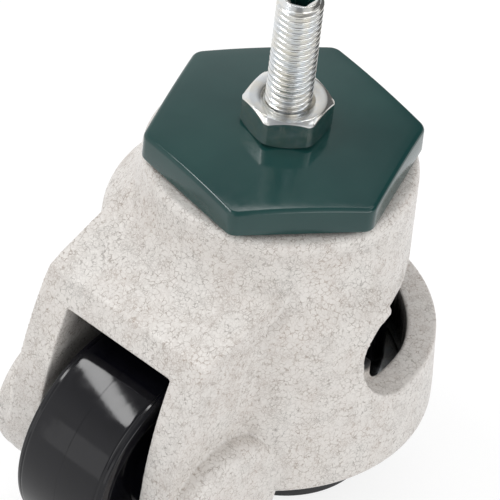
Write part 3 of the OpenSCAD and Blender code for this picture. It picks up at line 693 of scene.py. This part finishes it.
half_outline = [(hub_r, wheel_half), (hub_face_r - hub_edge, wheel_half)] \
    + rounded((hub_face_r - hub_edge, wheel_half - hub_edge), hub_edge, 90, 0, 3) \
    + [(hub_face_r + hub_draft, wheel_half - dish), (wheel_r - rim_wall, wheel_half - dish)] \
    + rounded((wheel_r - lip_in, wheel_half - lip_edge), lip_edge, 170, 90, 3) \
    + rounded((wheel_r - shoulder_in, wheel_half - shoulder_edge), shoulder_edge, 90, 10, 4) \
    + [(wheel_r - step_in, wheel_half - step_t), (wheel_r - 0.5, wheel_half - 1.0)] \
    + rounded((tread(tread_half) - tread_edge, tread_half), tread_edge, 60, 0, 4) \
    + [(tread(height), height) for height in (9.0, 7.5, 6.0, 4.5, 3.0, 1.5, 0.5, 0.2)] \
    + [(tread(0.1), 0.10), (tread(0.05) - mould_line, 0.05)]
other_half = [(radius, -height) for radius, height in reversed(half_outline)]
tyre = turned("moulded_wheel", half_outline + other_half + half_outline[:1])
on_axle = Matrix.Translation(Vector((axle_x, 0, axle_z)) * mm) @ Matrix.Rotation(pi / 2, 4, "X")
tyre.data.transform(on_axle)
glossy_nylon = moulding("glossy black nylon", (0.003, 0.003, 0.005),
                        smoothest=0.08, roughest=0.13, grain=0.35, depth=0.03, ior=1.41)
seat(tyre, "wheel", "black_nylon", glossy_nylon, "wheel", crease=30)
finish_nodes(natural_nylon, "wheel_bushes")


# Axle: a socket-headed bolt from the far side, through both bushes and the washers beside
# them, into a hex nut that the near cheek is cast round. Zinc plated.
def softened(node_name, name, width):
    made = welded_copy(node_name, name)
    shape = bmesh.new()
    shape.from_mesh(made.data)
    bmesh.ops.dissolve_limit(shape, angle_limit=radians(1), verts=shape.verts,
                             edges=shape.edges)
    shape.to_mesh(made.data)
    shape.free()
    edge = made.modifiers.new("eased edges", "BEVEL")
    edge.width, edge.segments = width * mm, 2
    edge.limit_method, edge.angle_limit = "ANGLE", radians(35)
    apply_modifiers(made)
    return made


seat(softened("axle_bolt", "socket_axle_bolt", width=0.3), "housing", "zinc_steel", zinc,
     "axle_bolt")
finish_nodes(zinc, "axle_nut", "side_washers")


# Dial: a glossy black knob with ten finger scallops, hollow underneath and moulded round a
# threaded steel sleeve. It turns on a bronze washer under the housing's head.
dial_x, dial_r, dial_top, dial_h = 10.0, 20.0, top_z - 42.6, 20.0
sleeve_r, scallop_r, scallop_depth, dial_round = 8.5, 5.0, 1.4, 1.5
roof_t, boss_t, wall_under, wall_roof, round_steps = 6.0, 2.5, 3.5, 4.2, 6
turns_of = np.linspace(0, 2 * pi, 240, False)
from_scallop = (turns_of + radians(18)) % radians(36) - radians(18)
scallop_at = dial_r + scallop_r - scallop_depth
sideways = np.abs(scallop_at * np.sin(from_scallop))
dip = scallop_at * np.cos(from_scallop) - np.sqrt(np.maximum(scallop_r ** 2 - sideways ** 2, 0))
dial_edge = np.where(sideways < scallop_r, np.minimum(dial_r, dip), dial_r)
dial_under, roof = dial_top - dial_h, dial_top - roof_t
rings = [circle(sleeve_r, dial_under), circle(sleeve_r, dial_top)]
for step in range(round_steps + 1):
    way = radians(90 - 90 * step / round_steps)
    rings.append(circle(dial_edge - dial_round * (1 - cos(way)),
                        dial_top - dial_round * (1 - sin(way))))
for step in range(round_steps + 1):
    way = radians(90 * step / round_steps)
    rings.append(circle(dial_edge - dial_round * (1 - cos(way)),
                        dial_under + dial_round * (1 - sin(way))))
rings += [circle(dial_r - wall_under, dial_under), circle(dial_r - wall_roof, roof),
          circle(sleeve_r + boss_t, roof), circle(sleeve_r + boss_t, dial_under),
          circle(sleeve_r, dial_under)]
dial = skin("scalloped_dial", rings)
dial.data.transform(Matrix.Translation((dial_x * mm, 0, 0)))
seat(dial, "dial", "black_nylon", glossy_nylon, "dial", crease=40)
finish_nodes(zinc, "dial_sleeve")
finish_nodes(brass, "thrust_washer")


# Retainer plate: 2 mm zinc-plated steel, slid into a groove at the back and held by two
# cross-head screws. It carries the dial and keys the jacking screw by its flats.
seat(softened("retainer_plate", "retainer_sheet", width=0.25), "housing", "zinc_steel", zinc,
     "retainer_plate")
seat(softened("retainer_screws", "pan_head_screws", width=0.15), "housing", "zinc_steel", zinc,
     "retainer_screws")


# Jacking screw: a 12 mm screw with two milled flats, a collar, and a neck that is riveted
# over under the foot's steel disc.
turns_of = np.linspace(0, 2 * pi, 96, False)
screw_r, screw_core_r, screw_pitch, half_flats = 6.0, 5.0, 1.75, 4.6
screw_top, screw_collar, screw_point = top_z - 40.0, top_z - 75.7, 1.0
neck_r, disc_under, rivet_h, rivet_in, rivet_out = 4.32, top_z - 82.7, 1.4, 1.0, 2.0
screw_collar_t, screw_collar_out = 2.0, 2.5
flat_limit = half_flats / np.maximum(np.abs(np.sin(turns_of)), 0.01)
rings = [circle(neck_r + rivet_in, disc_under - rivet_h),
         circle(neck_r + rivet_out, disc_under), circle(neck_r, disc_under),
         circle(neck_r, screw_collar - screw_collar_t),
         circle(screw_r + screw_collar_out, screw_collar - screw_collar_t),
         circle(screw_r + screw_collar_out, screw_collar)]
for height in np.arange(screw_collar, screw_top, screw_pitch / thread_steps):
    radius = rolled_thread(height, screw_pitch, screw_core_r, screw_r)
    radius = np.minimum(radius, screw_r - screw_point + screw_top - height)
    rings.append(circle(np.minimum(radius, flat_limit), height))
rings.append(circle(np.minimum(screw_r - screw_point, flat_limit), screw_top))
screw = skin("jacking_screw", rings, close_start=True, close_end=True)
screw.data.transform(Matrix.Translation((dial_x * mm, 0, 0)))
seat(screw, "foot", "zinc_steel", zinc, "foot_screw", crease=45)


# Foot: a zinc-plated steel disc with a raised hub, snapped into a rubber pad that has one
# groove in its sole.
finish_nodes(zinc, "foot_disc")
turns_of = np.linspace(0, 2 * pi, 128, False)
pad_r, sole, pad_top = 19.5, cad_low.z / mm, cad_low.z / mm + 12.0
disc_r, disc_t, pad_lip, rivet_pit_r, rivet_pit_t = 17.9, 3.0, 2, 6.62, 1.7
middle_r, groove_in, groove_out, groove_draft, groove_t = 0.01, 10.7, 13.7, 0.2, 1
sole_round, top_edge = 0.8, 1.6
disc_top, pit_z = disc_under + disc_t, disc_under - rivet_pit_t
outline = [(disc_r - pad_lip, disc_top), (disc_r, disc_top), (disc_r, disc_under),
           (rivet_pit_r, disc_under), (rivet_pit_r, pit_z), (middle_r, pit_z),
           (middle_r, sole), (groove_in, sole), (groove_in + groove_draft, sole + groove_t),
           (groove_out - groove_draft, sole + groove_t), (groove_out, sole)] \
    + rounded((pad_r - sole_round, sole + sole_round), sole_round, -90, 0) \
    + rounded((pad_r - top_edge, pad_top - top_edge), top_edge, 0, 90) \
    + [(disc_r - pad_lip, pad_top), (disc_r - pad_lip, disc_top)]
pad = turned("rubber_foot", outline)
pad.data.transform(Matrix.Translation((dial_x * mm, 0, 0)))
seat(pad, "foot", "black_rubber", rubber, "foot_pad", crease=35)
